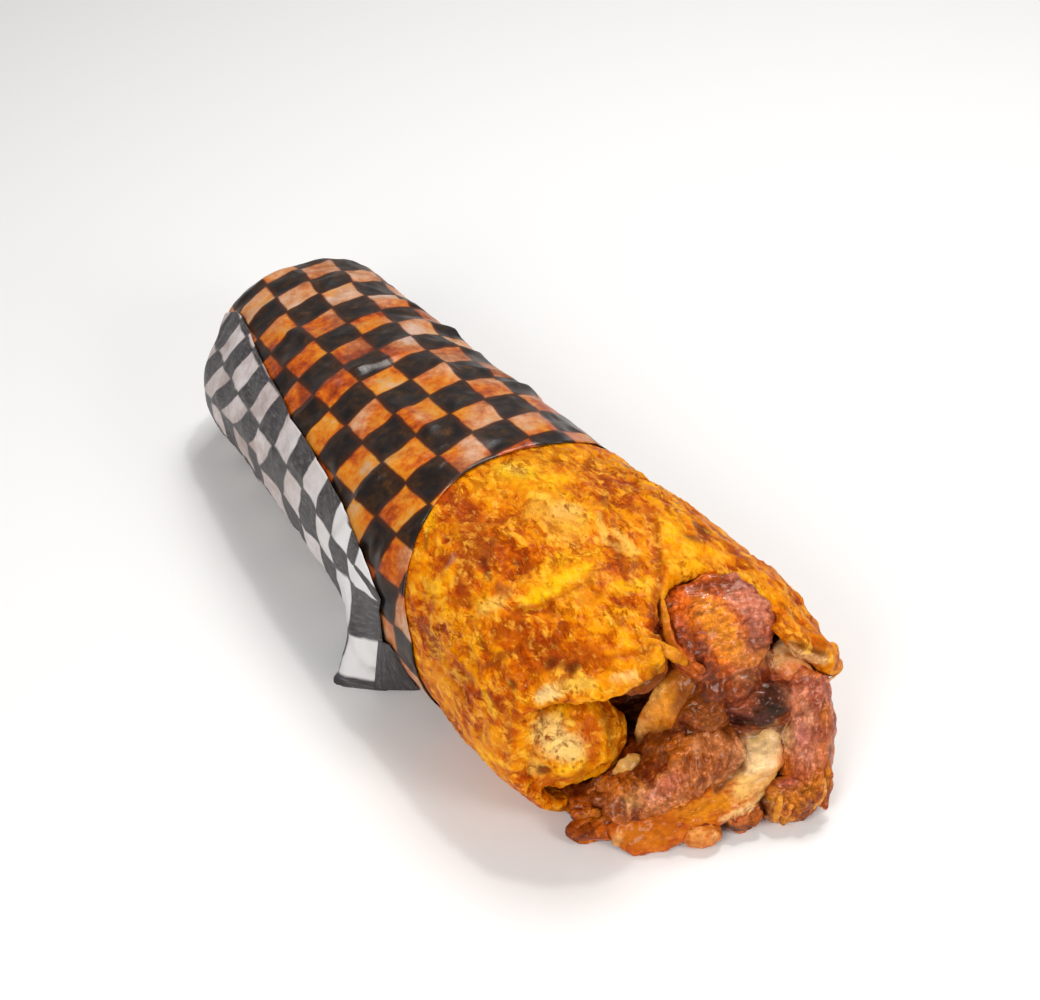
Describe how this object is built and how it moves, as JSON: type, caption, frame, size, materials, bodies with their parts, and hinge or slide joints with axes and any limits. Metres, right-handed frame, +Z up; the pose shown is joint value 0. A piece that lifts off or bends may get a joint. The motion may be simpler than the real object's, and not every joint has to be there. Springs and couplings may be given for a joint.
{
  "type": "beef wrap",
  "caption": "Rolled tortilla with a saucy beef and onion filling spilling from its open mouth, its far half wrapped in checkered deli paper with a bent-out corner.",
  "frame": {"origin": "on the table plane under the roll, at the middle of the paper's flat underside", "axes": "+Y along the roll from the open mouth to the wrapped end, +Z up"},
  "size_m": [0.1038, 0.255, 0.063],
  "materials": {
    "tortilla": "griddled flatbread, amber and oily with brown blotches",
    "paper": "greaseproof deli paper with a black and white check, stained orange where it clings",
    "beef_brown": "roast beef in a wet red-brown sauce",
    "beef_dark": "charred, glossy",
    "beef_red": "sliced beef, glazed with sauce",
    "onion": "fried onion, soft and glossy"
  },
  "bodies": {
    "root": {"tortilla": "tortilla", "wrapping_paper": "paper", "beef_filling": "beef_brown", "round_slice": "beef_red", "charred_chunk": "beef_dark", "onion_strip": "onion", "pale_slice": "onion", "right_slice": "beef_red", "long_strip": "onion", "ribbed_slice": "beef_red", "brown_chunk": "beef_brown", "cream_bit": "onion", "front_bit": "onion", "right_bit": "beef_red", "shred_bundle": "beef_brown", "left_tip": "beef_red"}
  },
  "joints": []
}
